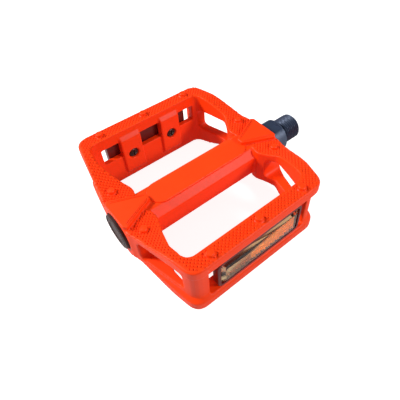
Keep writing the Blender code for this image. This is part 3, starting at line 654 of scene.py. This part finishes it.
# %% Bearing steel and balls
for node in ("outboard_cup", "inboard_cup", "outboard_cone", "lock_washer", "lock_nut"):
    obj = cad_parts[node]
    obj.data.materials.clear()
    obj.data.materials.append(ground_steel)

for row in ("outboard", "inboard"):
    names = sorted(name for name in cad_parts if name.startswith(f"{row}_ball_"))
    centres = [sum(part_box(name), Vector()) / 2 for name in names]
    bm = bmesh.new()
    bmesh.ops.create_icosphere(bm, subdivisions=4, radius=1.56 * MM)
    ball = write_mesh("ball_pattern", bm, 180)
    balls = repeat(f"{row}_balls", [(centre, (0, 0, 1)) for centre in centres], ball, polished)
    keep(balls, f"{row}_row", polished, names)
    print(row, "row:", len(names), "balls")

# %% [markdown]
# ## Reflectors
#
# Each reflector is a dark tray, a sheet of small three-sided prisms and a clear lens with a broad
# bevel over them. Light goes in through the lens and comes back off the prisms, which gives a
# broken sparkle, and the prisms also carry a painted glow that stands in for the light real corner
# prisms send back. One end of the sheet has paler prisms.

# %% Trays, prisms and lenses
TRAY_LENGTH, TRAY_HEIGHT = 50 * MM, 19 * MM
PRISM_STEP, PRISM_HEIGHT = 1.5 * MM, 1.0 * MM
PRISM_BASE, PRISM_TIP, PRISM_SUNK = 0.98 * MM, 0.05 * MM, 0.1 * MM
SHEET_HALF_LENGTH, SHEET_HALF_HEIGHT = 22.3 * MM, 7.0 * MM
PRISM_COLUMNS, PRISM_ROWS = 15, 5      # each way from the middle, enough to fill the sheet
PRISM_STAGGER = 0.4                    # of a step, every other column
PALE_END = -5 * MM                     # prisms on the outer side of this are pale


def plate_ring(y, shrink, corner=3.2 * MM, steps=6):
    """A rectangle with round corners, standing in X and Z."""
    half_x, half_z = TRAY_LENGTH / 2 - shrink, TRAY_HEIGHT / 2 - shrink
    radius = max(corner - shrink, 0.8 * MM)
    ring = []
    for sx, sz, first in ((1, 1, 0), (-1, 1, 90), (-1, -1, 180), (1, -1, 270)):
        for k in range(steps + 1):
            angle = math.radians(first + 90 * k / steps)
            ring.append((MIDDLE + sx * (half_x - radius) + radius * math.cos(angle), y,
                         sz * (half_z - radius) + radius * math.sin(angle)))
    return ring


for side, name in ((-1, "front"), (1, "rear")):
    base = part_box(f"{name}_reflector_base")
    lens_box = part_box(f"{name}_reflector_lens")
    back = min(abs(base[0].y), abs(base[1].y))
    front = max(abs(lens_box[0].y), abs(lens_box[1].y))
    floor_y = back + 0.9 * MM
    tray = stacked(f"{name}_tray", [
        plate_ring(side * back, 0.0), plate_ring(side * (front - 0.9 * MM), 0.0),
        plate_ring(side * (front - 0.6 * MM), 0.3 * MM),
        plate_ring(side * (front - 0.6 * MM), 1.5 * MM),
        plate_ring(side * floor_y, 1.6 * MM)], 25)
    keep(tray, "cage", maroon, [f"{name}_reflector_base"])
    lens = stacked(f"{name}_lens", [
        plate_ring(side * (floor_y + 1.2 * MM), 1.7 * MM),
        plate_ring(side * (front - 2.0 * MM), 1.7 * MM),
        plate_ring(side * (front - 0.1 * MM), 3.6 * MM),
        plate_ring(side * front, 3.9 * MM)], 20)
    keep(lens, "cage", amber, [f"{name}_reflector_lens"])
    amber_places, pale_places = [], []
    for i in range(-PRISM_COLUMNS, PRISM_COLUMNS + 1):
        for j in range(-PRISM_ROWS, PRISM_ROWS + 1):
            x = i * PRISM_STEP
            z = j * PRISM_STEP * math.sqrt(3) / 2 + (i % 2) * PRISM_STEP * PRISM_STAGGER
            if abs(x) < SHEET_HALF_LENGTH and abs(z) < SHEET_HALF_HEIGHT:
                chosen = pale_places if x < PALE_END else amber_places
                chosen.append(((MIDDLE + x, side * floor_y, z), (0, side, 0)))
    for label, places, material in (("amber", amber_places, prism_amber),
                                    ("pale", pale_places, prism_pale)):
        prisms = repeat(f"{name}_{label}_prisms", places,
                        pyramid("prism_pattern", 3, PRISM_BASE, PRISM_TIP, PRISM_HEIGHT,
                                PRISM_SUNK), material)
        keep(prisms, "cage", material)
    print(name, "reflector:", len(amber_places), "amber and", len(pale_places), "pale prisms")

# %% [markdown]
# ## Screws
#
# Four pan-head screws hold the reflectors from inside the cage. One screw is modelled, with a
# cross cut in its head and rings on its shank for threads, and the pattern tree sets it four times.

# %% Screws
head_radius, shank_radius = 2.75 * MM, 1.25 * MM
SCREW_RIDGES, RIDGE_STEP, RIDGE_DEPTH = 12, 0.35, 0.28 * MM
outline = [(0.0, 0.0), (1.3 * MM, -0.02 * MM), (2.2 * MM, -0.22 * MM), (2.62 * MM, -0.6 * MM),
           (head_radius, -1.0 * MM), (head_radius, -1.3 * MM), (shank_radius, -1.35 * MM)]
for k in range(SCREW_RIDGES):
    outline.append((shank_radius - (RIDGE_DEPTH if k % 2 else 0.0),
                    (-1.6 - RIDGE_STEP * k) * MM))
outline += [(0.5 * MM, -6.1 * MM), (0.0, -6.3 * MM)]
screw = write_mesh("screw_pattern",
                   spun([(radius, 0, z) for radius, z in outline], (0, 0, 1), 48), 30)
for turn in (0, 90):
    bm = bmesh.new()
    bmesh.ops.create_cube(bm, size=1, matrix=Matrix.Rotation(math.radians(turn), 4, "Z")
                          @ Matrix.Diagonal((3.6 * MM, 0.75 * MM, 1.8 * MM, 1)))
    cutter = write_mesh("cross_cutter", bm)
    cut = screw.modifiers.new("cross", "BOOLEAN")
    cut.object = cutter
    cut.solver = "EXACT"
    settle(screw)
    discard(cutter)
screw_places = []
screw_nodes = []
for side, name in ((-1, "front"), (1, "rear")):
    for label in ("outer", "inner"):
        node = f"{name}_{label}_screw"
        low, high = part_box(node)
        face = min(abs(low.y), abs(high.y))
        screw_places.append((((low.x + high.x) / 2, side * face, 0), (0, -side, 0)))
        screw_nodes.append(node)
screws = repeat("reflector_screws", screw_places, screw, screw_black)
keep(screws, "cage", screw_black, screw_nodes)
print("screws:", len(screw_places), "of", len(screws.data.polygons), "faces in all")

# %% [markdown]
# ## Floor, light and camera
#
# The pedal rests on the rim pins of its lower tread, on a pale light table whose glow lifts the
# shadow. The floor suits that resting pose only: after a quarter turn the cage reaches through it.
# A key light stands over the pedal and a low one in front glints off the upper bevel of the lens,
# and a plain surround keeps the shaded side from going black. The colours are shown without a
# film curve, since the default curve washes out a saturated orange.

# %% Floor
AMBIENT = 0.22                         # light the floor and surround give to the pedal
FLOOR_SHOWN, SURROUND_SHOWN = 0.68, 0.80   # added where the camera sees them directly
floor_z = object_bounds()[0].z
bm = bmesh.new()
bmesh.ops.create_grid(bm, x_segments=1, y_segments=1, size=1.5,
                      matrix=Matrix.Translation((MIDDLE, 0, floor_z)))
floor = write_mesh("floor", bm)
floor_paint = bpy.data.materials.new("pale_floor")
floor_paint.use_nodes = True
paper = floor_paint.node_tree.nodes["Principled BSDF"]
tone = noise(floor_paint.node_tree, 40.0, 3)
floor_paint.node_tree.links.new(
    mix_colour(floor_paint.node_tree, tone, (0.44, 0.44, 0.44), (0.48, 0.48, 0.48)),
    paper.inputs["Base Color"])
paper.inputs["Roughness"].default_value = 0.9
paper.inputs["Specular IOR Level"].default_value = 0.0
paper.inputs["Emission Color"].default_value = (1, 1, 1, 1)
floor_seen = floor_paint.node_tree.nodes.new("ShaderNodeLightPath").outputs["Is Camera Ray"]
floor_paint.node_tree.links.new(
    math_node(floor_paint.node_tree, "ADD",
              math_node(floor_paint.node_tree, "MULTIPLY", floor_seen, FLOOR_SHOWN), AMBIENT),
    paper.inputs["Emission Strength"])
floor.data.materials.append(floor_paint)

# %% Lights
world = bpy.data.worlds.new("bright_room")
scene.world = world
world.use_nodes = True
backdrop = world.node_tree.nodes["Background"]
backdrop.inputs["Color"].default_value = (1, 1, 1, 1)
seen_directly = world.node_tree.nodes.new("ShaderNodeLightPath").outputs["Is Camera Ray"]
world.node_tree.links.new(
    math_node(world.node_tree, "ADD",
              math_node(world.node_tree, "MULTIPLY", seen_directly, SURROUND_SHOWN), AMBIENT),
    backdrop.inputs["Strength"])


def soft_light(name, place, power, size):
    data = bpy.data.lights.new(name, "AREA")
    data.shape = "DISK"
    data.size = size
    data.energy = power
    obj = bpy.data.objects.new(name, data)
    obj.location = place
    obj.rotation_euler = (Vector((MIDDLE, 0, 0)) - obj.location).to_track_quat("-Z", "Y").to_euler()
    scene.collection.objects.link(obj)


soft_light("key", Vector((MIDDLE - 0.32, 0.30, 0.36)), 4.1, 0.11)
soft_light("glint", Vector((MIDDLE + 0.245, -0.46, 0.306)), 2.2, 0.13)
scene.view_settings.view_transform = "Standard"

# %% Camera
azimuth, elevation, roll = math.radians(-38.74), math.radians(49.14), math.radians(-1.26)
distance = 197.4 * MM
target = Vector((MIDDLE + 8.9 * MM, -8.3 * MM, 0))
back = Vector((math.sin(azimuth) * math.cos(elevation), -math.cos(azimuth) * math.cos(elevation),
               math.sin(elevation)))
right = Vector((math.cos(azimuth), math.sin(azimuth), 0))
up = back.cross(right)
across = right * math.cos(roll) + up * math.sin(roll)
upright = up * math.cos(roll) - right * math.sin(roll)
lens_data = bpy.data.cameras.new("camera")
lens_data.sensor_width = 36
lens_data.lens = 35.05
lens_data.shift_x, lens_data.shift_y = -0.05, -0.04
lens_data.clip_start = 1 * MM
camera = bpy.data.objects.new("camera", lens_data)
camera.matrix_world = Matrix.Translation(target + back * distance) \
    @ Matrix((across, upright, back)).transposed().to_4x4()
scene.collection.objects.link(camera)
scene.camera = camera
